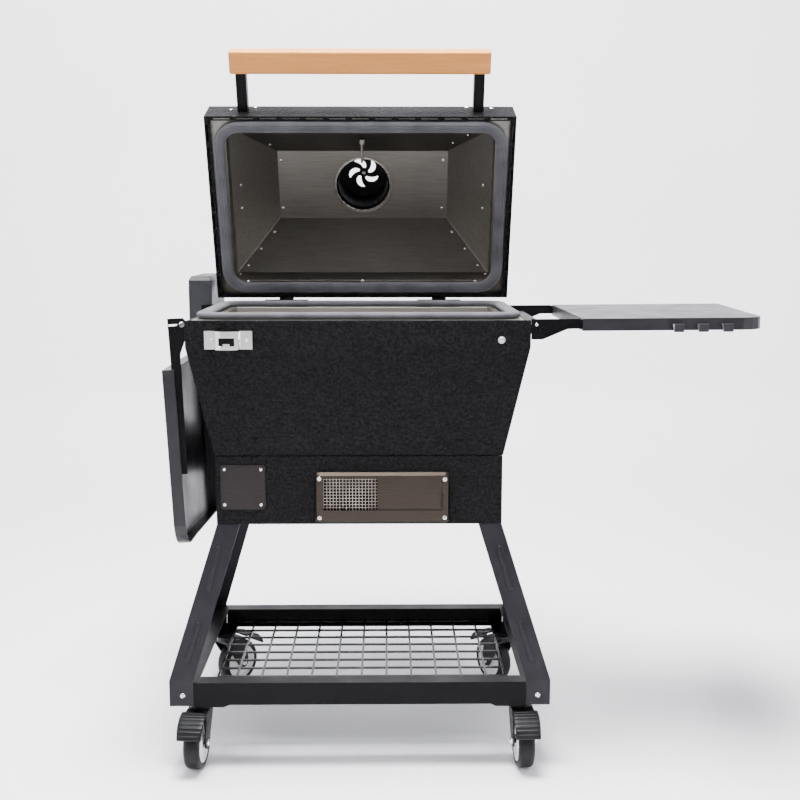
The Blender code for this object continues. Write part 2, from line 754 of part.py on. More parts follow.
def make_hinges():
    axis_y = at(HINGE_DEPTH)
    back = at(BODY_D) + GAP
    for hand, side in (("left", -1), ("right", 1)):
        x0, x1 = sorted((side * 0.117, side * 0.210))
        third = (x1 - x0) / 3
        m0, m1 = x0 + third - 0.0003, x1 - third + 0.0003
        outline = [
            (x0, 0.8300), (x1, 0.8300), (x1, 0.8655), (m1, 0.8655), (m1, 0.8615), (m0, 0.8615),
            (m0, 0.8655), (x0, 0.8655),
        ]
        leaf = prism("hinge_leaf_" + hand, outline, back, back + 0.002, "y", "frame")
        knuckles = []
        for start in (x0, x1 - third + 0.0003):
            end = start + third - 0.0003
            knuckles.append(rod("knuckle_tool", (start, axis_y, HINGE_Z), (end, axis_y, HINGE_Z),
                                0.0050, "x", count=16, group=cutters))
        pin = rod("pin_tool", (x0 + 0.001, axis_y, HINGE_Z), (x1 - 0.001, axis_y, HINGE_Z), 0.0025, "x",
                  count=16, group=cutters)
        join(leaf, *knuckles, pin)

        barrel = [(0.00258, x0 + third + 0.0001), (0.0050, x0 + third + 0.0001),
                  (0.0050, x1 - third - 0.0001), (0.00258, x1 - third - 0.0001)]
        knuckle = spun("hinge_strap_" + hand, barrel, (0, 0, 0), "x", "frame", 16)
        plate = box("strap_tool", x0 + third + 0.0001, x1 - third - 0.0001,
                    -LID_BACK + GAP, -LID_BACK + 0.0024, 0.0022, 0.0400, group=cutters)
        swing(join(knuckle, plate))


# Folding side shelves, drawn raised on the right side about their pivot

def shelf_outline():
    """Plan of the tray: rounded front corner, outer edge running out a little towards the back."""
    edge = [
        (0.4062, 0.0), (0.6970, 0.0), (0.7150, 0.0050), (0.7290, 0.0160), (0.7375, 0.0310),
        (0.7405, 0.0480), (0.7430, 0.1170), (0.7620, SHELF_D), (0.4062, SHELF_D),
    ]
    return [(x - PIVOT_X, depth) for x, depth in edge]


def inset_outline(points, amount):
    shrunk = []
    total = len(points)
    for i in range(total):
        here = Vector(points[i])
        before = (here - Vector(points[i - 1])).normalized()
        after = (Vector(points[(i + 1) % total]) - here).normalized()
        n0 = Vector((-before.y, before.x))
        n1 = Vector((-after.y, after.x))
        bisect = (n0 + n1).normalized()
        shrunk.append(tuple(here + bisect * (amount / bisect.dot(n0))))
    return shrunk


def make_shelf(hand, side, rise, drop, angle, hooks):
    """Tray and two arms; rise is the tray top above the pivot, drop sets the arms below the tray top."""
    wall = 0.0018
    outline = shelf_outline()
    inner = inset_outline(outline, wall)
    low = rise - SHELF_H
    rings = [
        [(x, d, rise) for x, d in outline],
        [(x, d, low) for x, d in outline],
        [(x, d, low) for x, d in inner],
        [(x, d, rise - wall) for x, d in inner],
    ]
    tray = loft("shelf_" + hand, rings, "frame")
    if hooks:
        tools = []
        for start in (0.5690, 0.6135, 0.6580):
            x = start - PIVOT_X
            profile = [
                (0.0010, rise - 0.0090), (-0.0100, rise - 0.0200), (-0.0120, rise - 0.0100),
                (-0.0145, rise - 0.0105), (-0.0120, rise - 0.0245), (-0.0090, rise - 0.0245),
                (0.0010, rise - 0.0130),
            ]
            tools.append(prism("hook_tool", profile, x, x + 0.0175, "x", group=cutters))
        join(tray, *tools)
    arms = []
    top = rise - drop
    end = outline[0][0]
    notches = []
    for depth in (0.0040, SHELF_D - 0.0060):
        notches.append(box("notch_tool", end - 0.002, end + 0.003, depth - 0.0006, depth + 0.0031,
                           low - 0.002, top + 0.0006 if drop else top - 0.0020, group=cutters))
    cut(tray, *notches)
    for label, depth in (("front", 0.0040), ("rear", SHELF_D - 0.0060)):
        profile = [
            (0.3137 - PIVOT_X, top), (0.6000 - PIVOT_X, top - (0.0022 if drop else 0.0044)),
            (0.6000 - PIVOT_X, top - 0.0160), (0.4057 - PIVOT_X, top - 0.0190),
            (0.3936 - PIVOT_X, top - 0.0185), (0.3791 - PIVOT_X, top - 0.0190),
            (0.3343 - PIVOT_X, top - 0.0375), (0.3137 - PIVOT_X, top - 0.0375),
        ]
        if drop:
            # the folded arm's root swings past the body's side, so its corner is taken off
            profile[6:] = [(0.0003, -0.0285), (-0.0130, -0.0250), (0.3137 - PIVOT_X, -0.0195)]
        if not drop:
            profile[0] = (0.3137 - PIVOT_X, top - 0.0004)
            profile[1:2] = [
                (0.4015 - PIVOT_X, top - 0.0004),
                (0.4050 - PIVOT_X, top - 0.0024),
                (0.6000 - PIVOT_X, top - 0.0024),
            ]
        arm = prism("arm_" + hand + "_" + label, profile, depth - 0.0, depth + 0.0025, "y", "frame")
        bore = rod("bore_tool", (0, depth - 0.01, 0), (0, depth + 0.015, 0), 0.00408, "y", group=cutters)
        tools = [bore]
        if label == "front" and drop:
            tools.append(box("slot_tool", -0.0098, -0.0062, depth - 0.01, depth + 0.01, -0.0087, 0.0075,
                             group=cutters))
            tools.append(rod("stop_tool", (-0.0087, depth - 0.01, -0.0164), (-0.0087, depth + 0.01, -0.0164),
                             0.0050, "y", count=20, group=cutters))
        arms.append(cut(arm, *tools))
    for obj in [tray] + arms:
        if side < 0:
            obj.data.transform(Matrix.Scale(-1.0, 4, Vector((1, 0, 0))))
            tidy_mesh(obj.data)
        obj.location = (side * PIVOT_X, FRONT, PIVOT_Z)
        obj.rotation_euler = (0.0, side * angle, 0.0)


def make_shelf_mount(hand, side, top):
    x0, x1 = sorted((side * (BODY_SIDE + GAP), side * 0.3400))
    rail = box("shelf_mount_" + hand, x0, x1, at(0.0075), at(SHELF_D - 0.0070), 0.8350, top, "frame")
    ends = [(side * PIVOT_X, at(depth), PIVOT_Z) for depth in (0.0035, SHELF_D - 0.0030)]
    pin = rod("pin_tool", *ends, 0.0040, "y", group=cutters)
    join(rail, pin)


def make_shelves():
    make_shelf("right", 1, 0.0192, 0.0, math.radians(-0.36), True)
    make_shelf("left", -1, 0.0250, 0.0160, math.radians(92.6), False)
    make_shelf_mount("right", 1, 0.8510)
    make_shelf_mount("left", -1, 0.8455)


def settle():
    """Put the middle of the footprint at the origin."""
    bpy.context.view_layer.update()
    corners = [obj.matrix_world @ vert.co for obj in parts.objects for vert in obj.data.vertices]
    low = Vector(min(p[i] for p in corners) for i in range(3))
    high = Vector(max(p[i] for p in corners) for i in range(3))
    shift = Vector(((low.x + high.x) / 2, (low.y + high.y) / 2, low.z))
    for obj in parts.objects:
        obj.location = obj.location - shift


clear_scene()
make_palette()
make_cart()
make_casters()
make_body_shell()
make_front_panel()
make_base_box()
make_body_liner()
make_body_seal()
make_cooking_parts()
make_opener()
make_base_fittings()
make_feed()
make_lid_shell()
make_lid_liner()
make_lid_trim()
make_vent_cap()
make_hinges()
make_shelves()
settle()
bpy.context.view_layer.update()
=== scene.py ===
# Pellet smoker grill: finishes, fasteners, ropes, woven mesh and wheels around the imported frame,
# then a pale floor, studio light and the camera. Lengths are in metres, +Z is up, the front faces -Y.
import json
import math
import bpy
from mathutils import Matrix, Vector


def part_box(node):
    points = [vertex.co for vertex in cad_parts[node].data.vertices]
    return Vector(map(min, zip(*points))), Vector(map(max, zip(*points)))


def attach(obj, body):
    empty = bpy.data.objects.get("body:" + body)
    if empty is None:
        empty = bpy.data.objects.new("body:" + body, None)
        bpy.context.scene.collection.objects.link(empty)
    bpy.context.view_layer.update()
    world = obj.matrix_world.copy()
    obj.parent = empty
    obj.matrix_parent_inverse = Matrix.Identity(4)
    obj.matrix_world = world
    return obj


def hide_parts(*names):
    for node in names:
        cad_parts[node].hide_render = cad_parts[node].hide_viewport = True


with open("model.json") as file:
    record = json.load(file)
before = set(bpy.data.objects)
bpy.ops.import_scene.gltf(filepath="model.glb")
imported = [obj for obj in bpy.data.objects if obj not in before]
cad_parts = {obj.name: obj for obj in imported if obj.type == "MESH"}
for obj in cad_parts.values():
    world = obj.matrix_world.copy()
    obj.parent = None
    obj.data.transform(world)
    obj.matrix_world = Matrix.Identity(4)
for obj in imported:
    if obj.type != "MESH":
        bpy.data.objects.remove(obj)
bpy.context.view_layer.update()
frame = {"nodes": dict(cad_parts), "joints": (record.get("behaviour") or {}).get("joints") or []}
nodes = frame["nodes"]
joints = {joint["name"]: joint for joint in frame["joints"]}
print("frame loaded:", len(nodes), "nodes")

# where the body's middle and front face are, so that every place below is read from them
midX = (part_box("body_shell")[0].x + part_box("body_shell")[1].x) / 2
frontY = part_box("front_panel")[0].y
casterNames = ["front_left", "front_right", "rear_left", "rear_right"]


def at(x, depth, z):
    # x from the middle of the body, depth back from the front panel, z up from the floor
    return Vector((midX + x, frontY + depth, z))


# the lid's own axes: x across, y back towards its hinge side, z up from its rim when it is shut
lidPlace = {"rimDepth": 0.39994, "rimHeight": 0.87705, "openDegrees": joints["lid_hinge"]["range_deg"][1]}
lidMatrix = (
    Matrix.Translation(at(0, lidPlace["rimDepth"], lidPlace["rimHeight"]))
    @ Matrix.Rotation(-math.radians(lidPlace["openDegrees"]), 4, "X")
)


def onLid(x, reach, rise):
    # reach is the distance from the hinge edge of the rim, rise the distance from the rim plane
    return lidMatrix @ Vector((x, -reach, rise))


def lidWay(x, reach, rise):
    return (lidMatrix.to_3x3() @ Vector((x, -reach, rise))).normalized()


# Finishes

def linear(hexColour):
    # sRGB hex to the linear values that the shader takes
    parts = [int(hexColour[i:i + 2], 16) / 255 for i in (1, 3, 5)]
    return [c / 12.92 if c <= 0.04045 else ((c + 0.055) / 1.055) ** 2.4 for c in parts] + [1.0]


def addNode(tree, kind, settings=None, links=None):
    # settings go by input or attribute name, and "ramp" holds (position, hex colour) stops
    node = tree.nodes.new(kind)
    for key, value in (settings or {}).items():
        if key == "ramp":
            for stop, (position, hexColour) in zip(node.color_ramp.elements, value):
                stop.position = position
                stop.color = linear(hexColour)
        elif isinstance(key, int) or (key in node.inputs and not hasattr(node, key)):
            node.inputs[key].default_value = value
        else:
            setattr(node, key, value)
    for key, source in (links or {}).items():
        tree.links.new(source, node.inputs[key])
    return node


def startMaterial(name, shader):
    # the shader on its output, and the object's own coordinates for the patterns
    material = bpy.data.materials.new(name)
    material.use_nodes = True
    tree = material.node_tree
    tree.nodes.clear()
    surface = addNode(tree, "ShaderNodeBsdfPrincipled", shader)
    addNode(tree, "ShaderNodeOutputMaterial", links={"Surface": surface.outputs["BSDF"]})
    return material, tree, surface, addNode(tree, "ShaderNodeTexCoord").outputs["Object"]


def dress(tree, surface, colour, bump=None, gloss=None):
    # the patterned channels of the shader
    tree.links.new(colour, surface.inputs["Base Color"])
    if bump is not None:
        tree.links.new(bump.outputs["Normal"], surface.inputs["Normal"])
    if gloss is not None:
        tree.links.new(gloss.outputs["Result"], surface.inputs["Roughness"])


patternSpan = {"From Min": 0.3, "From Max": 0.7}  # where most of a noise pattern's values lie

wrinkle = {"dark": "#020203", "light": "#131214", "darkTo": 0.42, "lightFrom": 0.60, "roughness": 0.49,
           "glossVary": 0.07, "specular": 0.07, "grainMm": 4.6, "cellShare": 0.72, "cloud": 7.0,
           "height": 0.0022, "strength": 1.0}


def wrinklePowderCoat():
    # baked wrinkle powder coat: a tight leathery pebble that breaks the light into small glints, with the
    # pebble's tops painted lighter and its hollows darker as painted glints and shade
    material, tree, surface, place = startMaterial(
        "wrinklePowderCoat", {"Roughness": wrinkle["roughness"], "Specular IOR Level": wrinkle["specular"]})
    size = 1000 / wrinkle["grainMm"]
    pebble = addNode(tree, "ShaderNodeTexNoise",
                     {"Scale": size, "Detail": 3.0, "Roughness": 0.62, "Distortion": 0.35}, {"Vector": place})
    cell = addNode(tree, "ShaderNodeTexVoronoi",
                   {"feature": "SMOOTH_F1", "Scale": size * wrinkle["cellShare"], "Smoothness": 0.6},
                   {"Vector": place})
    cloud = addNode(tree, "ShaderNodeTexNoise", {"Scale": wrinkle["cloud"], "Detail": 2.0}, {"Vector": place})
    mixed = addNode(tree, "ShaderNodeMath", {"operation": "SUBTRACT"},
                    {0: pebble.outputs["Fac"], 1: cell.outputs["Distance"]})
    stops = ((wrinkle["darkTo"], wrinkle["dark"]), (wrinkle["lightFrom"], wrinkle["light"]))
    # painted light: the colour rises with the pebble that also lifts the bump, a painted glint speckle on its
    # tops and painted shade in its hollows
    colour = addNode(tree, "ShaderNodeValToRGB", {"ramp": stops}, {"Fac": pebble.outputs["Fac"]})
    gloss = addNode(tree, "ShaderNodeMapRange",
                    {**patternSpan, "To Min": wrinkle["roughness"] - wrinkle["glossVary"],
                     "To Max": wrinkle["roughness"] + wrinkle["glossVary"]}, {"Value": cloud.outputs["Fac"]})
    bump = addNode(tree, "ShaderNodeBump", {"Strength": wrinkle["strength"], "Distance": wrinkle["height"]},
                   {"Height": mixed.outputs["Value"]})
    dress(tree, surface, colour.outputs["Color"], bump, gloss)
    return material


satin = {"peelMm": 1.6, "rub": 16.0, "glossier": 0.06, "duller": 0.07, "strength": 0.3, "height": 0.00012}


def satinPowderCoat(name, dark, light, roughness, specular):
    # smooth powder coat: a low orange peel under a soft sheen, with faint rubbed patches
    material, tree, surface, place = startMaterial(
        name, {"Roughness": roughness, "Specular IOR Level": specular})
    peel = addNode(tree, "ShaderNodeTexNoise", {"Scale": 1000 / satin["peelMm"], "Detail": 2.0},
                   {"Vector": place})
    rub = addNode(tree, "ShaderNodeTexNoise", {"Scale": satin["rub"], "Detail": 5.0, "Roughness": 0.6},
                  {"Vector": place})
    colour = addNode(tree, "ShaderNodeValToRGB", {"ramp": ((0.3, dark), (0.7, light))},
                     {"Fac": rub.outputs["Fac"]})
    gloss = addNode(tree, "ShaderNodeMapRange",
                    {**patternSpan, "To Min": roughness - satin["glossier"],
                     "To Max": roughness + satin["duller"]}, {"Value": rub.outputs["Fac"]})
    bump = addNode(tree, "ShaderNodeBump", {"Strength": satin["strength"], "Distance": satin["height"]},
                   {"Height": peel.outputs["Fac"]})
    dress(tree, surface, colour.outputs["Color"], bump, gloss)
    return material


brushing = {"aspect": 60, "smoke": 5.0, "stain": 0.22, "glossier": 0.05, "duller": 0.08, "strength": 0.25,
            "height": 0.0001, "lines": {"Scale": 1.0, "Detail": 3.0, "Roughness": 0.7}}


def brushedStainless(name, dark, light, roughness, lineMm, along, sides=False, tint=None):
    # stainless sheet brushed one way: long fine lines that stretch each highlight across them
    material, tree, surface, place = startMaterial(name, {"Metallic": 1.0, "Roughness": roughness})
    fine = 1000 / lineMm
    long = fine / brushing["aspect"]
    stretch = {"x": (long, fine, fine), "z": (fine, fine, long)}[along]
    mapped = addNode(tree, "ShaderNodeMapping", {"Scale": stretch}, {"Vector": place})
    lines = addNode(tree, "ShaderNodeTexNoise", brushing["lines"], {"Vector": mapped.outputs["Vector"]})
    streak = lines.outputs["Fac"]
    if sides:
        # the end sheets are brushed up and down, the others from side to side
        endMap = addNode(tree, "ShaderNodeMapping", {"Scale": (fine, fine / 2, long)}, {"Vector": place})
        upright = addNode(tree, "ShaderNodeTexNoise", brushing["lines"], {"Vector": endMap.outputs["Vector"]})
        coords = addNode(tree, "ShaderNodeTexCoord")
        normal = addNode(tree, "ShaderNodeSeparateXYZ", links={"Vector": coords.outputs["Normal"]})
        across = addNode(tree, "ShaderNodeMath", {"operation": "ABSOLUTE"}, {0: normal.outputs["X"]})
        isSide = addNode(tree, "ShaderNodeMath", {"operation": "GREATER_THAN", 1: 0.5},
                         {0: across.outputs["Value"]})
        pick = addNode(tree, "ShaderNodeMix", {"data_type": "FLOAT"},
                       {"Factor": isSide.outputs["Value"], 2: streak, 3: upright.outputs["Fac"]})
        streak = pick.outputs[0]
    smoke = addNode(tree, "ShaderNodeTexNoise",
                    {"Scale": brushing["smoke"], "Detail": 4.0, "Roughness": 0.55}, {"Vector": place})
    sheet = addNode(tree, "ShaderNodeValToRGB", {"ramp": ((0.25, dark), (0.75, light))}, {"Fac": streak})
    colour = sheet.outputs["Color"]
    if tint:
        # handling marks and a little heat colour
        cover = addNode(tree, "ShaderNodeMapRange",
                        {"From Min": 0.5, "From Max": 0.8, "To Min": 0.0, "To Max": brushing["stain"]},
                        {"Value": smoke.outputs["Fac"]})
        shade = addNode(tree, "ShaderNodeMix", {"data_type": "RGBA", 7: linear(tint)},
                        {"Factor": cover.outputs["Result"], 6: colour})
        colour = shade.outputs[2]
    gloss = addNode(tree, "ShaderNodeMapRange",
                    {**patternSpan, "To Min": roughness - brushing["glossier"],
                     "To Max": roughness + brushing["duller"]}, {"Value": smoke.outputs["Fac"]})
    bump = addNode(tree, "ShaderNodeBump",
                   {"Strength": brushing["strength"], "Distance": brushing["height"]}, {"Height": streak})
    dress(tree, surface, colour, bump, gloss)
    return material


rope = {"dark": "#323236", "light": "#4c4c51", "stitchMm": 3.0, "around": 12.0, "fluff": 900.0, "worn": 22.0,
        "fluffShare": 0.35, "stitchShade": 0.11, "strength": 0.8, "height": 0.0009}


def glassFibreRope():
    # knitted glass-fibre rope: matt, with small slanting stitches and a dusty sheen
    material, tree, surface, place = startMaterial(
        "glassFibreRope", {"Roughness": 0.92, "Sheen Weight": 0.15, "Sheen Roughness": 0.6, "IOR": 1.4})
    coords = addNode(tree, "ShaderNodeTexCoord")
    split = addNode(tree, "ShaderNodeSeparateXYZ", links={"Vector": coords.outputs["UV"]})
    stitches = 2 * math.pi * 1000 / rope["stitchMm"]
    run = addNode(tree, "ShaderNodeMath", {"operation": "MULTIPLY", 1: stitches}, {0: split.outputs["X"]})
    turn = addNode(tree, "ShaderNodeMath", {"operation": "MULTIPLY", 1: 2 * math.pi * rope["around"]},
                   {0: split.outputs["Y"]})
    slants = []
    for operation in ("ADD", "SUBTRACT"):
        slant = addNode(tree, "ShaderNodeMath", {"operation": operation},
                        {0: run.outputs["Value"], 1: turn.outputs["Value"]})
        slants.append(addNode(tree, "ShaderNodeMath", {"operation": "SINE"}, {0: slant.outputs["Value"]}))
    knit = addNode(tree, "ShaderNodeMath", {"operation": "MULTIPLY"},
                   {0: slants[0].outputs["Value"], 1: slants[1].outputs["Value"]})
    fluff = addNode(tree, "ShaderNodeTexNoise", {"Scale": rope["fluff"], "Detail": 2.0}, {"Vector": place})
    worn = addNode(tree, "ShaderNodeTexNoise", {"Scale": rope["worn"], "Detail": 3.0}, {"Vector": place})
    height = addNode(tree, "ShaderNodeMath", {"operation": "MULTIPLY_ADD", 1: rope["fluffShare"]},
                     {0: fluff.outputs["Fac"], 2: knit.outputs["Value"]})
    # painted shade: the colour darkens in the stitch hollows and lightens on their tops with the knit, over
    # the rope's own worn patches
    shade = addNode(tree, "ShaderNodeMath", {"operation": "MULTIPLY_ADD", 1: rope["stitchShade"]},
                    {0: knit.outputs["Value"], 2: worn.outputs["Fac"]})
    colour = addNode(tree, "ShaderNodeValToRGB", {"ramp": ((0.28, rope["dark"]), (0.72, rope["light"]))},
                     {"Fac": shade.outputs["Value"]})
    bump = addNode(tree, "ShaderNodeBump", {"Strength": rope["strength"], "Distance": rope["height"]},
                   {"Height": height.outputs["Value"]})
    dress(tree, surface, colour.outputs["Color"], bump)
    return material


oak = {"pale": "#c68639", "mid": "#b1712a", "deep": "#824c1b", "poreMm": 0.6,
       "ringStretch": (3.0, 26.0, 26.0), "ringWaves": 9.0, "grainStretch": (14.0, 420.0, 420.0),
       "poreLength": 90.0, "ringShare": 0.22, "poreDepth": 0.55, "strength": 0.25, "height": 0.00015}


def oiledOak():
    # oak bar planed and oiled: long wavy rings, short dark pores and a low warm sheen
    material, tree, surface, place = startMaterial("oiledOak", {"Roughness": 0.44, "IOR": 1.46})
    porePitch = 1000 / oak["poreMm"]
    patterns = []
    for stretch, noise in ((oak["ringStretch"], {"Detail": 3.0}),
                           (oak["grainStretch"], {"Detail": 4.0, "Roughness": 0.65}),
                           ((oak["poreLength"], porePitch, porePitch), {"Detail": 1.0})):
        mapped = addNode(tree, "ShaderNodeMapping", {"Scale": stretch}, {"Vector": place})
        patterns.append(addNode(tree, "ShaderNodeTexNoise", {"Scale": 1.0, **noise},
                                {"Vector": mapped.outputs["Vector"]}))
    warp, fine, pores = patterns
    bend = addNode(tree, "ShaderNodeMath", {"operation": "MULTIPLY", 1: oak["ringWaves"]},
                   {0: warp.outputs["Fac"]})
    rings = addNode(tree, "ShaderNodeMath", {"operation": "SINE"}, {0: bend.outputs["Value"]})
    grain = addNode(tree, "ShaderNodeMath", {"operation": "MULTIPLY_ADD", 1: oak["ringShare"]},
                    {0: rings.outputs["Value"], 2: fine.outputs["Fac"]})
    board = addNode(tree, "ShaderNodeValToRGB", {"ramp": ((0.25, oak["mid"]), (0.75, oak["pale"]))},
                    {"Fac": grain.outputs["Value"]})
    dark = addNode(tree, "ShaderNodeMapRange",
                   {"From Min": 0.60, "From Max": 0.72, "To Min": 0.0, "To Max": oak["poreDepth"]},
                   {"Value": pores.outputs["Fac"]})
    mixed = addNode(tree, "ShaderNodeMix", {"data_type": "RGBA", 7: linear(oak["deep"])},
                    {"Factor": dark.outputs["Result"], 6: board.outputs["Color"]})
    bump = addNode(tree, "ShaderNodeBump", {"Strength": oak["strength"], "Distance": oak["height"]},
                   {"Height": fine.outputs["Fac"]})
    dress(tree, surface, mixed.outputs[2], bump)
    return material


speckle = {"patch": 30.0, "glossier": 0.05, "duller": 0.06, "shiniest": 0.05}


def speckled(name, dark, light, roughness, grainMm, metallic=0.0, strength=0.2, height=0.0002, specular=0.5):
    # one plain body colour with a fine cast, moulded or plated grain
    material, tree, surface, place = startMaterial(
        name, {"Roughness": roughness, "Metallic": metallic, "Specular IOR Level": specular})
    grain = addNode(tree, "ShaderNodeTexNoise", {"Scale": 1000 / grainMm, "Detail": 3.0, "Roughness": 0.6},
                    {"Vector": place})
    patch = addNode(tree, "ShaderNodeTexNoise", {"Scale": speckle["patch"], "Detail": 3.0}, {"Vector": place})
    colour = addNode(tree, "ShaderNodeValToRGB", {"ramp": ((0.3, dark), (0.7, light))},
                     {"Fac": patch.outputs["Fac"]})
    gloss = addNode(tree, "ShaderNodeMapRange",
                    {**patternSpan, "To Min": max(roughness - speckle["glossier"], speckle["shiniest"]),
                     "To Max": roughness + speckle["duller"]}, {"Value": patch.outputs["Fac"]})
    bump = addNode(tree, "ShaderNodeBump", {"Strength": strength, "Distance": height},
                   {"Height": grain.outputs["Fac"]})
    dress(tree, surface, colour.outputs["Color"], bump, gloss)
    return material


finishes = {
    "wrinkle": wrinklePowderCoat(),
    "satin": satinPowderCoat("satinPowderCoat", "#040405", "#0a090b", 0.42, 0.07),
    # the legs and their beads take a lighter copy of the rails' satin powder coat: painted light, for the
    # light that their tilted fronts catch
    "legCoat": satinPowderCoat("legPowderCoatLitCopy", "#121014", "#1c1a1f", 0.40, 0.16),
    "hopperCoat": satinPowderCoat("hopperPowderCoat", "#1a1b1e", "#222327", 0.48, 0.3),
    "shelfCoat": satinPowderCoat("shelfPowderCoat", "#111014", "#19181c", 0.38, 0.3),
    "liner": brushedStainless("linerStainlessBrushed", "#5f5c57", "#7a7670", 0.44, 1.1, "x", True, "#5a554e"),
    "collar": brushedStainless("collarStainlessTurned", "#96928b", "#b3afa8", 0.22, 0.6, "z"),
    "ventSteel": brushedStainless("ventStainlessBrushed", "#302b27", "#3f3832", 0.34, 0.7, "x",
                                  tint="#332c26"),
    "plateSteel": brushedStainless("plateStainlessCrossBrushed", "#282525", "#343130", 0.40, 0.8, "x"),
    "openerSteel": brushedStainless("openerStainlessPolished", "#dcdad5", "#f3f1ed", 0.22, 0.5, "x"),
    "sootySteel": brushedStainless("heatMarkedMildSteel", "#4e4741", "#6d655c", 0.5, 1.2, "x",
                                   tint="#2f2622"),
    "rope": glassFibreRope(),
    "oak": oiledOak(),
    "probeSteel": speckled("probeStainlessDulled", "#5f5a54", "#78736c", 0.34, 1.0, 1.0, 0.1, 0.0001),
    "zinc": speckled("zincPlatedSteel", "#b9b8b4", "#dddcd8", 0.24, 1.2, 1.0, 0.1, 0.0001),
    "meshWire": speckled("wovenStainlessWire", "#9c938a", "#c2bab0", 0.32, 1.0, 1.0, 0.1, 0.0001),
    "wireCoat": speckled("dippedBlackWireCoat", "#070708", "#0e0e0f", 0.28, 2.0, specular=0.25),
    "enamel": speckled("porcelainEnamelBlack", "#0e0e0f", "#19191a", 0.24, 1.5),
    "capCoat": speckled("flueEnamelBlack", "#080709", "#100f11", 0.42, 1.4, specular=0.15),
    "forkSteel": speckled("pressedSteelBlackZinc", "#09090a", "#111113", 0.36, 1.6, specular=0.2),
    "tyre": speckled("polyurethaneTyreBlack", "#070708", "#0f0f10", 0.46, 1.2, specular=0.16),
    "hub": speckled("mouldedNylonHubWhite", "#cfcecb", "#e4e3e0", 0.36, 1.4),
    "pedal": speckled("mouldedNylonPedalBlack", "#09090a", "#131315", 0.42, 0.9, specular=0.18),
}
print("finishes made:", len(finishes))

# which finish each carried-over node takes, and how wide its folded edges read
finishOf = {
    "wrinkle": ["body_shell", "front_panel", "base_box", "lid_shell"],
    "legCoat": ["front_left_leg", "front_right_leg", "rear_left_leg", "rear_right_leg"],
    "satin": ["front_rail", "rear_rail", "left_rail", "right_rail", "arm_left_front", "arm_left_rear",
              "arm_right_front", "arm_right_rear", "shelf_mount_left", "shelf_mount_right",
              "hinge_leaf_left", "hinge_leaf_right", "hinge_strap_left", "hinge_strap_right",
              "handle_post_left", "handle_post_right", "feed_housing"],
    "shelfCoat": ["shelf_left", "shelf_right"],
    "hopperCoat": ["pellet_hopper", "hopper_lid"],
    "liner": ["lid_liner", "body_liner"],
    "collar": ["flue_collar"],
    "probeSteel": ["temperature_probe"],
    "ventSteel": ["vent_frame", "vent_slider"],
    "plateSteel": ["access_plate"],
    "openerSteel": ["bottle_opener"],
    "sootySteel": ["heat_baffle", "fire_pot"],
    "meshWire": ["vent_mesh"],
    "wireCoat": ["wire_shelf"],
    "enamel": ["cooking_grate"],
    "capCoat": ["vent_cap", "flue_pipe"],
    "oak": ["handle_bar"],
    "rope": ["lid_gasket", "body_gasket"],
    "forkSteel": [name + "_fork" for name in casterNames],
    "tyre": [name + "_wheel" for name in casterNames],
    "pedal": [name + "_brake" for name in casterNames],
}
edgeWidth = {"wrinkle": 0.0011, "satin": 0.0007, "legCoat": 0.0007, "shelfCoat": 0.0009,
             "hopperCoat": 0.0011, "liner": 0.0009, "ventSteel": 0.0006, "plateSteel": 0.0003,
             "openerSteel": 0.0004, "forkSteel": 0.0007, "pedal": 0.0008, "oak": 0.0004}

for finish, members in finishOf.items():
    for name in members:
        node = nodes[name]
        node.data.materials.clear()
        node.data.materials.append(finishes[finish])
        weld = node.modifiers.new("weldedCorners", "WELD")
        weld.merge_threshold = 0.00002
        if finish in edgeWidth:
            # the folds and cut edges are slightly round, so they catch a line of light
            edge = node.modifiers.new("easedEdges", "BEVEL")
            edge.width = edgeWidth[finish]
            edge.segments = 2
            edge.limit_method = "ANGLE"
            edge.angle_limit = math.radians(28)
            edge.use_clamp_overlap = True
print("nodes finished:", sum(len(members) for members in finishOf.values()))


# Making pieces

def makePiece(name, verts, faces, finish, body, sharp=35.0, uvs=None):
    mesh = bpy.data.meshes.new(name)
    mesh.from_pydata([tuple(v) for v in verts], [], faces)
    mesh.validate()
    mesh.update()
    if uvs:
        layer = mesh.uv_layers.new(name="alongAround")
        for loop in mesh.loops:
            layer.data[loop.index].uv = uvs[loop.vertex_index]
    for polygon in mesh.polygons:
        polygon.use_smooth = True
    mesh.set_sharp_from_angle(angle=math.radians(sharp))
    mesh.materials.append(finishes[finish])
    piece = bpy.data.objects.new(name, mesh)
    bpy.context.scene.collection.objects.link(piece)
    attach(piece, body)
    return piece


def stackRings(rings, capStart=True, capEnd=True, loop=False):
    # rings of equal length joined one to the next
    verts = [v for ring in rings for v in ring]
    size = len(rings[0])
    faces = []
    last = len(rings) if loop else len(rings) - 1
    for i in range(last):
        j = (i + 1) % len(rings)
        for k in range(size):
            n = (k + 1) % size
            faces.append((i * size + k, i * size + n, j * size + n, j * size + k))
    if not loop and capStart:
        faces.append(tuple(range(size))[::-1])
    if not loop and capEnd:
        faces.append(tuple((len(rings) - 1) * size + k for k in range(size)))
    return verts, faces


def joinParts(parts):
    # parts are (verts, faces, matrix)
    verts = []
    faces = []
    for partVerts, partFaces, matrix in parts:
        start = len(verts)
        verts += [matrix @ Vector(v) for v in partVerts]
        faces += [tuple(start + i for i in face) for face in partFaces]
    return verts, faces


def facing(place, normal, roll=0.0):
    turn = Vector(normal).to_track_quat("Z", "Y").to_matrix().to_4x4()
    return Matrix.Translation(place) @ turn @ Matrix.Rotation(roll, 4, "Z")


def circleRing(radius, height, steps):
    turns = [2 * math.pi * i / steps for i in range(steps)]
    return [(radius * math.cos(angle), radius * math.sin(angle), height) for angle in turns]


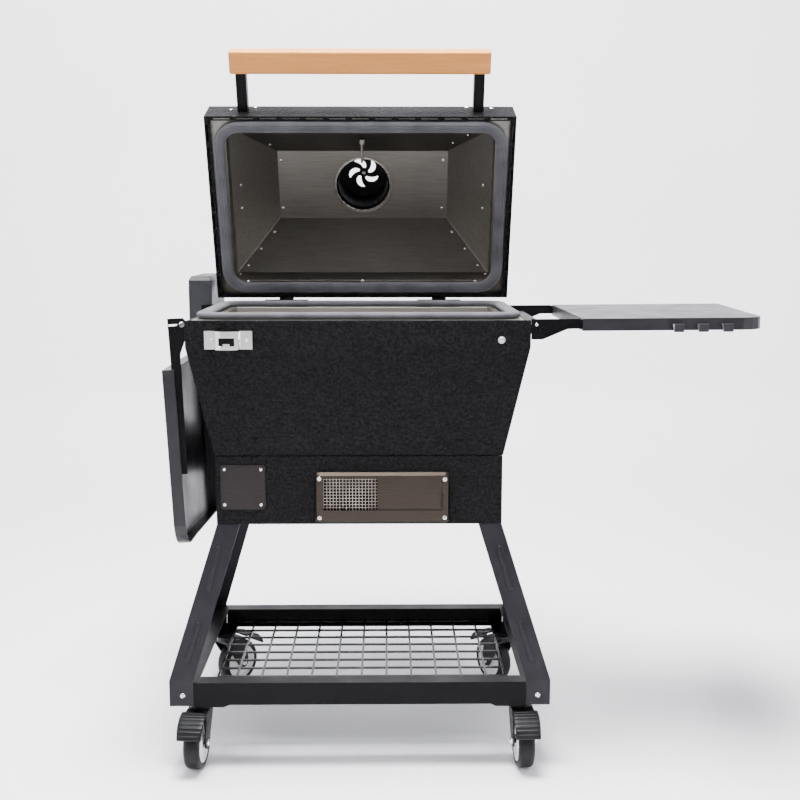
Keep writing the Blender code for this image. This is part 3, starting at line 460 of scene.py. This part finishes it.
def socketRing(shape, size, height, steps):
    # outline of the driver's recess: hex for a socket head, cross for a cross head
    ring = []
    for i in range(steps):
        angle = 2 * math.pi * i / steps
        if shape == "hex":
            side = (angle + math.pi / 6) % (math.pi / 3) - math.pi / 6
            radius = size / math.cos(side)
        else:
            side = abs((angle + math.pi / 4) % (math.pi / 2) - math.pi / 4)
            radius = size if side < 0.22 else size * 0.36
        ring.append((radius * math.cos(angle), radius * math.sin(angle), height))
    return ring


screwHeads = {
    "buttonHead": {"radius": 0.0052, "height": 0.0029, "recess": "hex", "size": 0.0019, "deep": 0.0017},
    "panHead": {"radius": 0.0043, "height": 0.0026, "recess": "cross", "size": 0.0024, "deep": 0.0014},
    "smallPan": {"radius": 0.0031, "height": 0.0020, "recess": "cross", "size": 0.0017, "deep": 0.0010},
    "rivetHead": {"radius": 0.0035, "height": 0.0022, "recess": "cross", "size": 0.0017, "deep": 0.0009},
}


def screwHead(kind):
    head = screwHeads[kind]
    steps = 24
    radius = head["radius"]
    height = head["height"]
    rings = [circleRing(radius * 0.97, 0.0, steps), circleRing(radius, height * 0.18, steps)]
    for i in range(1, 6):
        tilt = math.radians(15 * i)
        rings.append(circleRing(radius * (0.30 + 0.70 * math.cos(tilt)),
                                height * (0.18 + 0.82 * math.sin(tilt)), steps))
    rings.append(socketRing(head["recess"], head["size"], height, steps))
    rings.append(socketRing(head["recess"], head["size"] * 0.88, height - head["deep"], steps))
    return stackRings(rings)


def washer(outer, inner, thick, steps=28):
    rings = [circleRing(inner, 0.0, steps), circleRing(outer * 0.98, 0.0, steps),
             circleRing(outer, thick * 0.5, steps), circleRing(outer * 0.97, thick, steps),
             circleRing(inner, thick, steps)]
    return stackRings(rings, loop=True)


def hexNut(across, thick):
    rings = []
    for scale, height in ((1.0, 0.0), (1.0, thick * 0.8), (0.90, thick)):
        rings.append(socketRing("hex", across / 2 * scale, height, 24))
    rings.append(circleRing(across * 0.24, thick, 24))
    rings.append(circleRing(across * 0.22, thick * 1.35, 24))
    return stackRings(rings)


def fitScrews(name, kind, spots, body, finish="zinc"):
    # the same head at each (place, normal), with the recess turned a little differently each time
    head = screwHead(kind)
    parts = [(*head, facing(place, normal, 0.4 + 1.7 * i)) for i, (place, normal) in enumerate(spots)]
    return makePiece(name, *joinParts(parts), finish, body, 40.0)


def sweep(path, section, closed, normals):
    # section points (u, v) run along a path; v points along the normal and u across
    rings = []
    count = len(path)
    for i, point in enumerate(path):
        before = path[i - 1] if closed or i else path[0]
        after = path[(i + 1) % count] if closed or i < count - 1 else path[-1]
        ahead = (after - before).normalized()
        up = normals(i)
        side = ahead.cross(up).normalized()
        rings.append([point + side * u + up * v for u, v in section(i)])
    return rings


# Fasteners

forward = Vector((0, -1, 0))
screwPlaces = {
    "washer": (0.0068, 0.0028, 0.0010),  # outer and inner radius, thickness
    "washerDepth": -0.0010, "openerDepth": -0.0025, "armDepth": 0.0040,
    "opener": [(-0.2637, 0.8247), (-0.2011, 0.8247)],
    "accessPlate": [(-0.2500, 0.5820), (-0.1822, 0.5817), (-0.2505, 0.5150), (-0.1827, 0.5148)],
    "ventFrame": [(-0.0739, 0.5655), (-0.0738, 0.4912), (0.1590, 0.5641), (0.1592, 0.4912)],
    "frontPanel": (0.2595, 0.8244),
    "footBolts": [(-0.3357, 0.1492), (0.3369, 0.1478)],
    "armRight": (0.3229, 0.8515),
}


def frontSpots(places, depth):
    return [(at(x, depth, z), forward) for x, z in places]


def faceDepth(name):
    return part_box(name)[0].y - frontY


fitScrews("opener_screws", "smallPan",
          frontSpots(screwPlaces["opener"], screwPlaces["openerDepth"]), "cart")
fitScrews("access_plate_screws", "smallPan",
          frontSpots(screwPlaces["accessPlate"], faceDepth("access_plate")), "cart")
fitScrews("vent_frame_screws", "panHead",
          frontSpots(screwPlaces["ventFrame"], faceDepth("vent_frame")), "cart")
frontX, frontZ = screwPlaces["frontPanel"]
fitScrews("front_panel_screw", "buttonHead",
          [(at(frontX, screwPlaces["washerDepth"], frontZ), forward)], "cart")
panelWasher = (*washer(*screwPlaces["washer"]), facing(at(frontX, 0.0, frontZ), forward))
makePiece("front_panel_washer", *joinParts([panelWasher]), "zinc", "cart")
fitScrews("foot_bolts", "buttonHead", frontSpots(screwPlaces["footBolts"], 0.0), "cart")
fitScrews("right_arm_screw", "smallPan",
          frontSpots([screwPlaces["armRight"]], screwPlaces["armDepth"]), "right_shelf")

footNuts = {"places": [(-0.3386, 0.020), (0.3440, 0.020), (-0.3386, 0.424), (0.3440, 0.424)],
            "across": 0.010, "thick": 0.005}
nut = hexNut(footNuts["across"], footNuts["thick"])
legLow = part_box("front_left_leg")[0].z
parts = [(*nut, facing(at(x, depth, legLow), (0, 0, -1))) for x, depth in footNuts["places"]]
makePiece("foot_nuts", *joinParts(parts), "zinc", "cart")

# small bright screws along the seams of the lid's liner
linerSeams = {
    "backPanel": [(-0.1785, 0.2514), (-0.1785, 0.1428), (0.1750, 0.2520), (0.1750, 0.1428)],
    "lowerSlope": [(-0.1970, 0.0981, 0.1400), (-0.2250, 0.0723, 0.1047), (-0.2510, 0.0470, 0.0701),
                   (0.1970, 0.0981, 0.1400), (0.2250, 0.0723, 0.1047), (0.2510, 0.0470, 0.0701)],
    "sideSlope": [(0.2559, 0.2254, 0.0763), (0.2565, 0.1750, 0.0752)],
    "upperSlope": [(-0.1968, 0.2944, 0.1386), (0.1932, 0.3003, 0.1303), (0.2217, 0.3282, 0.0911)],
    "rim": [(-0.2773, 0.0732), (-0.2449, 0.0326), (0.0, 0.0340), (0.2413, 0.0328), (-0.2770, 0.3246),
            (0.2766, 0.3273)],
    "lowerWall": [(-0.2667, 0.0454), (0.2669, 0.0465)],
    "backRise": 0.1700, "rimRise": 0.0103, "wallReach": 0.0360,
    "lowerFacing": (0, 0.81, -0.59), "upperFacing": (0, -0.81, -0.58), "sideFacing": (0.8, -0.6),
}
intoLid = lidWay(0, 0, -1)
linerSpots = [(onLid(x, reach, linerSeams["backRise"]), intoLid) for x, reach in linerSeams["backPanel"]]
linerSpots += [(onLid(*place), lidWay(*linerSeams["lowerFacing"])) for place in linerSeams["lowerSlope"]]
linerSpots += [(onLid(*place), lidWay(*linerSeams["upperFacing"])) for place in linerSeams["upperSlope"]]
sideX, sideZ = linerSeams["sideFacing"]
for x, reach, rise in linerSeams["sideSlope"]:
    for side in (-1, 1):
        linerSpots.append((onLid(side * x, reach, rise), lidWay(-side * sideX, 0, sideZ)))
linerSpots += [(onLid(x, reach, linerSeams["rimRise"]), intoLid) for x, reach in linerSeams["rim"]]
for x, rise in linerSeams["lowerWall"]:
    linerSpots.append((onLid(x, linerSeams["wallReach"], rise), lidWay(0, 1, 0)))
fitScrews("lid_liner_screws", "rivetHead", linerSpots, "lid")

# the handle's posts are each held by one large and one small screw through the lid's front band
postScrews = {"large": [(-0.2157, 0.070), (0.2151, 0.072)], "small": [(-0.2620, 0.050), (0.2656, 0.064)],
              "reach": 0.390}
for size, kind in (("large", "buttonHead"), ("small", "panHead")):
    spots = [(onLid(x, postScrews["reach"], rise), lidWay(0, 1, 0)) for x, rise in postScrews[size]]
    fitScrews("handle_screws_" + size, kind, spots, "lid")

# the bolt that the flue's cap turns on
capBolt = {"across": 0.0085, "thick": 0.0032, "reach": 0.196, "rise": 0.2587}
boltSpot = facing(onLid(0, capBolt["reach"], capBolt["rise"]), intoLid)
capNut = (*hexNut(capBolt["across"], capBolt["thick"]), boltSpot)
makePiece("vent_cap_bolt", *joinParts([capNut]), "zinc", "vent_cap")
print("fasteners fitted")


# Rope gaskets

def ropePath(halfX, near, far, radius, place):
    # points and running length round a rounded rectangle, starting at the middle of the hinge side
    corners = [(halfX - radius, far - radius, 0), (-halfX + radius, far - radius, 90),
               (-halfX + radius, near + radius, 180), (halfX - radius, near + radius, 270)]
    flat = []
    for x, y, start in corners:
        for step in range(13):
            angle = math.radians(start + 90 * step / 12)
            flat.append(Vector((x + radius * math.cos(angle), y + radius * math.sin(angle))))
    dense = []
    for i, point in enumerate(flat):
        following = flat[(i + 1) % len(flat)]
        pieces = max(1, round((following - point).length / 0.012))
        dense += [point.lerp(following, k / pieces) for k in range(pieces)]
    return [place(p.x, p.y) for p in dense]


ropes = {
    "lid_rope": {"node": "lid_gasket", "body": "lid", "halfX": 0.2855, "near": 0.022, "far": 0.368,
                 "radius": 0.042, "low": -0.0030, "lift": 0.0065, "join": -0.015},
    "body_rope": {"node": "body_gasket", "body": "cart", "halfX": 0.2880, "near": 0.022, "far": 0.366,
                  "radius": 0.040, "join": 0.014},
}
ropeWidth, ropeHeight = 0.0236, 0.0126

for name, settings in ropes.items():
    if settings["body"] == "lid":
        middle = settings["low"] + settings["lift"]
        path = ropePath(settings["halfX"], settings["near"], settings["far"], settings["radius"],
                        lambda x, y: onLid(x, y, middle))
        joinPoint = onLid(settings["join"], settings["near"], middle)
        up = intoLid
    else:
        level = (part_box("body_gasket")[0].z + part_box("body_gasket")[1].z) / 2
        path = ropePath(settings["halfX"], settings["near"], settings["far"], settings["radius"],
                        lambda x, y: at(x, y, level))
        joinPoint = at(settings["join"], settings["far"], level)
        up = Vector((0, 0, 1))
    steps = 24
    lengths = [0.0]
    for i in range(1, len(path)):
        lengths.append(lengths[-1] + (path[i] - path[i - 1]).length)

    def section(i, lengths=lengths, path=path, joinPoint=joinPoint):
        # the rope swells and slumps a little along its run, and pinches where its ends meet
        run = lengths[i]
        swell = 1 + 0.022 * math.sin(run * 31) + 0.016 * math.sin(run * 83 + 1)
        pinch = 1 - 0.16 * math.exp(-((path[i] - joinPoint).length / 0.004) ** 2)
        points = []
        for k in range(steps):
            angle = 2 * math.pi * k / steps
            u = ropeWidth / 2 * math.copysign(abs(math.cos(angle)) ** 0.8, math.cos(angle))
            v = ropeHeight / 2 * math.copysign(abs(math.sin(angle)) ** 0.8, math.sin(angle))
            points.append((u * min(swell, 1.02) * pinch, v * pinch))
        return points

    rings = sweep(path, section, True, lambda i: up)
    verts, faces = stackRings(rings, loop=True)
    faces = [face[::-1] for face in faces]
    uvs = [(lengths[i // steps], (i % steps) / steps) for i in range(len(verts))]
    piece = makePiece(name, verts, faces, "rope", settings["body"], 80.0, uvs)
    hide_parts(settings["node"])
print("ropes laid")


# Woven mesh behind the vent's window

weave = {"pitch": 0.0060, "wire": 0.0011, "crimp": 0.00055, "left": -0.0725, "right": 0.0390, "low": 0.5005,
         "high": 0.5707, "margin": 0.002, "phase": 1.57}
meshDepth = (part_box("vent_mesh")[0].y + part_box("vent_mesh")[1].y) / 2 - frontY


def crimpedWire(start, end, phase):
    # one wire passing over and under the ones that cross it
    length = (end - start).length
    count = int(length / (weave["pitch"] / 4))
    path = []
    for i in range(count + 1):
        share = i / count
        point = start.lerp(end, share)
        wave = math.sin(math.pi * share * length / weave["pitch"] + phase)
        path.append(point + forward * weave["crimp"] * wave)
    radius = weave["wire"] / 2
    circle = [(radius * math.cos(math.pi * k / 3), radius * math.sin(math.pi * k / 3)) for k in range(6)]
    return stackRings(sweep(path, lambda i: circle, False, lambda i: forward))


parts = []
steady = Matrix.Identity(4)
count = int((weave["right"] - weave["left"]) / weave["pitch"])
for i in range(count + 1):
    x = weave["left"] + i * weave["pitch"]
    ends = at(x, meshDepth, weave["low"]), at(x, meshDepth, weave["high"])
    parts.append((*crimpedWire(*ends, math.pi * (i % 2) + weave["phase"]), steady))
count = int((weave["high"] - weave["low"]) / weave["pitch"])
for i in range(count + 1):
    z = weave["low"] + weave["margin"] + i * weave["pitch"]
    ends = at(weave["left"], meshDepth, z), at(weave["right"], meshDepth, z)
    parts.append((*crimpedWire(*ends, math.pi * ((i + 1) % 2) + weave["phase"]), steady))
wovenMesh = makePiece("woven_mesh", *joinParts(parts), "meshWire", "cart", 70.0)
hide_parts("vent_mesh")
print("mesh woven")


# Pressed stiffening beads on the front legs

beads = {"runs": [((0.2620, 0.436), (0.2850, 0.351)), ((0.3020, 0.292), (0.3270, 0.214))],
         "width": 0.0110, "height": 0.0034, "footZ": 0.1775, "lean": 0.0736}


def pressedBead(start, end, normal, width, height):
    along = (end - start).normalized()
    across = along.cross(normal).normalized()
    length = (end - start).length
    half = width / 2
    rings = []
    marks = [half * (1 - math.cos(math.pi / 2 * i / 6)) for i in range(7)]
    marks += [length - m for m in marks[::-1]]
    for mark in marks:
        edge = min(mark, length - mark)
        share = math.sqrt(max(0.0, 1 - (1 - min(edge, half) / half) ** 2)) if edge < half else 1.0
        share = max(share, 0.02)
        ring = []
        for k in range(9):
            angle = math.pi * k / 8
            ring.append(start + along * mark + across * half * share * math.cos(angle)
                        + normal * (height * share * math.sin(angle) - 0.0001))
        rings.append(ring)
    return stackRings(rings)


leanNormal = Vector((0, -1, beads["lean"])).normalized()
parts = []
for side in (-1, 1):
    for top, low in beads["runs"]:
        ends = [at(side * x, beads["lean"] * (z - beads["footZ"]), z) for x, z in (top, low)]
        parts.append((*pressedBead(ends[0], ends[1], leanNormal, beads["width"], beads["height"]), steady))
makePiece("leg_beads", *joinParts(parts), "legCoat", "cart", 60.0)
print("beads pressed")


# Caster wheels: a black tyre on a white moulded hub, with a bearing cap and the axle's bolt and nut

wheel = {
    # radius and half width down one side, from the tread to the bead
    "tyre": [(0.0500, 0.0), (0.0500, 0.0050), (0.0496, 0.0085), (0.0484, 0.0120), (0.0462, 0.0146),
             (0.0436, 0.0155), (0.0400, 0.0154), (0.0378, 0.0146), (0.0374, 0.0100)],
    "hub": [(0.0379, 0.0060), (0.0379, 0.0138), (0.0370, 0.0146), (0.0352, 0.0146), (0.0338, 0.0132),
            (0.0322, 0.0108), (0.0180, 0.0104), (0.0150, 0.0112), (0.0138, 0.0136), (0.0128, 0.0142),
            (0.0062, 0.0142), (0.0062, 0.0120)],
    "boltAcross": 0.0110, "boltThick": 0.0040, "cheek": 0.0216,
}


def turned(profile, steps=56):
    # a closed profile of (radius, along) turned round the local z axis
    return stackRings([circleRing(radius, along, steps) for radius, along in profile], loop=True)


def mirroredProfile(side):
    return side + [(radius, -along) for radius, along in side[::-1] if along > 0]


for name in casterNames:
    spin = joints[name + "_wheel_spin"]
    axle = Vector(spin["axis"])
    centre = Vector(spin["pos_m"])
    turn = facing(centre, axle)
    wheelBody = name + "_caster_wheel"
    profile = mirroredProfile(wheel["tyre"])
    tyre = makePiece(name + "_tyre", *joinParts([(*turned(profile), turn)]), "tyre", wheelBody, 50.0)
    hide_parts(name + "_wheel")
    hub = (*turned(mirroredProfile(wheel["hub"])), turn)
    makePiece(name + "_hub", *joinParts([hub]), "hub", wheelBody, 40.0)
    caps = []
    for side in (-1, 1):
        spot = facing(centre + axle * side * wheel["cheek"], axle * side)
        caps.append((*hexNut(wheel["boltAcross"], wheel["boltThick"]), spot))
    makePiece(name + "_axle_bolt", *joinParts(caps), "zinc", name + "_caster")
print("wheels turned")


# Brake pedals: a moulded tread that curls over the wheel, with grip ribs across it

pedal = {
    "root": 0.0365,
    # reach from the caster's stem and height above the floor, along the middle of the tread's curve
    "curve": [(0.0372, 0.1116), (0.0620, 0.1130), (0.0850, 0.1040), (0.0915, 0.0795)],
    "half": 0.0262, "tip": 0.0232, "thick": 0.0021, "ribs": 7, "ribHeight": 0.0009, "steps": 84,
}


def bezier(points, share):
    rest = 1 - share
    weights = (rest ** 3, 3 * rest ** 2 * share, 3 * rest * share ** 2, share ** 3)
    return [sum(w * point[axis] for w, point in zip(weights, points)) for axis in (0, 1)]


def treadRings(root, heading, across):
    rings = []
    for i in range(pedal["steps"] + 1):
        share = i / pedal["steps"]
        reach, height = bezier(pedal["curve"], share)
        nearReach, nearHeight = bezier(pedal["curve"], max(share - 0.01, 0))
        farReach, farHeight = bezier(pedal["curve"], min(share + 0.01, 1))
        slope = math.atan2(farHeight - nearHeight, farReach - nearReach)
        outward = heading * -math.sin(slope) + Vector((0, 0, math.cos(slope)))
        centre = root + heading * (reach - pedal["root"]) + Vector((0, 0, height - root.z))
        # the ends round off, and the ribs stand up between them
        rounding = math.sqrt(max(0.06, 1 - max(0, abs(share - 0.5) * 2 - 0.94) ** 2 / 0.0036))
        half = (pedal["half"] + (pedal["tip"] - pedal["half"]) * share) * (0.94 + 0.06 * rounding)
        rib = 0.0
        if 0.12 < share < 0.90:
            wave = math.cos(2 * math.pi * pedal["ribs"] * (share - 0.12) / 0.78)
            rib = pedal["ribHeight"] * max(0, wave) ** 0.7
        ring = []
        for k in range(20):
            angle = 2 * math.pi * k / 20
            u = math.copysign(abs(math.cos(angle)) ** 0.35, math.cos(angle)) * half
            v = math.copysign(abs(math.sin(angle)) ** 0.55, math.sin(angle)) * pedal["thick"] * rounding
            if v > 0 and abs(u) < half * 0.9:
                v += rib
            ring.append(centre + across * u + outward * v)
        rings.append(ring)
    return rings


for name in casterNames:
    tread = joints[name + "_brake_tread"]
    across = Vector(tread["axis"])
    heading = Vector((across.y, -across.x, 0))
    rings = treadRings(Vector(tread["pos_m"]), heading, across)
    piece = makePiece(name + "_pedal", *stackRings(rings), "pedal", name + "_caster_brake", 50.0)
    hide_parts(name + "_brake")
print("pedals moulded")


# Floor, light and camera

studio = {
    "floorRadius": 5.5, "wallRadius": 2.2, "wallHeight": 9.0, "pale": "#e9e9ec", "shade": "#e6e6e9",
    "air": "#f4f5fa", "world": 0.66,
    # name, place and target from the body, size and power
    "lights": [("topSoftbox", (-0.1, -0.1, 3.2), (0, 0.2, 0.6), (1.1, 1.1), 480),
               ("backdropLight", (0, 3.4, 4.4), (0, 7.4, 1.4), (6.0, 2.0), 900),
               ("leftSoftbox", (-2.6, -1.4, 1.8), (0, 0.2, 0.7), (1.6, 2.2), 60),
               ("rightSoftbox", (2.6, -1.0, 1.6), (0, 0.2, 0.7), (1.4, 2.0), 45)],
    "cameraX": 0.0529, "cameraAhead": 2.0043, "cameraHeight": 1.0209, "pitch": 8.68, "yaw": 0.65,
    "lens": 50.12, "sensor": 36.0,
}


def paleFloor():
    # a floor that curves up into a wall all round, so that no edge shows from any side
    steps = 72
    flat = studio["floorRadius"]
    bend = studio["wallRadius"]
    rings = []
    for radius, height in [(0.02, 0.0), (flat * 0.5, 0.0), (flat, 0.0)]:
        rings.append(circleRing(radius, height, steps))
    for i in range(1, 11):
        angle = math.radians(9 * i)
        rings.append(circleRing(flat + bend * math.sin(angle), bend * (1 - math.cos(angle)), steps))
    rings.append(circleRing(flat + bend, studio["wallHeight"], steps))
    verts, faces = stackRings(rings, capStart=True, capEnd=False)
    mesh = bpy.data.meshes.new("studioFloor")
    mesh.from_pydata(verts, [], faces)
    mesh.flip_normals()
    for polygon in mesh.polygons:
        polygon.use_smooth = True
    floor = bpy.data.objects.new("studioFloor", mesh)
    bpy.context.scene.collection.objects.link(floor)
    material, tree, surface, place = startMaterial(
        "paleSweep", {"Roughness": 0.85, "Specular IOR Level": 0.2})
    drift = addNode(tree, "ShaderNodeTexNoise", {"Scale": 0.8, "Detail": 1.0}, {"Vector": place})
    colour = addNode(tree, "ShaderNodeValToRGB", {"ramp": ((0.3, studio["shade"]), (0.7, studio["pale"]))},
                     {"Fac": drift.outputs["Fac"]})
    dress(tree, surface, colour.outputs["Color"])
    mesh.materials.append(material)
    floor.visible_shadow = False


def softLight(name, place, target, size, power):
    light = bpy.data.lights.new(name, "AREA")
    light.shape = "RECTANGLE"
    light.size, light.size_y = size
    light.energy = power
    lamp = bpy.data.objects.new(name, light)
    lamp.location = place
    lamp.rotation_euler = (Vector(target) - Vector(place)).to_track_quat("-Z", "Y").to_euler()
    bpy.context.scene.collection.objects.link(lamp)


paleFloor()
world = bpy.data.worlds.new("paleStudio")
world.use_nodes = True
backdrop = world.node_tree.nodes["Background"]
backdrop.inputs["Color"].default_value = linear(studio["air"])
backdrop.inputs["Strength"].default_value = studio["world"]
bpy.context.scene.world = world
for name, place, target, size, power in studio["lights"]:
    softLight(name, at(*place), at(*target), size, power)

cameraData = bpy.data.cameras.new("frontCamera")
cameraData.lens = studio["lens"]
cameraData.sensor_width = studio["sensor"]
camera = bpy.data.objects.new("frontCamera", cameraData)
camera.location = at(studio["cameraX"], -studio["cameraAhead"], studio["cameraHeight"])
camera.rotation_euler = (math.radians(90 - studio["pitch"]), 0.0, math.radians(-studio["yaw"]))
bpy.context.scene.collection.objects.link(camera)
bpy.context.scene.camera = camera
print("studio set")
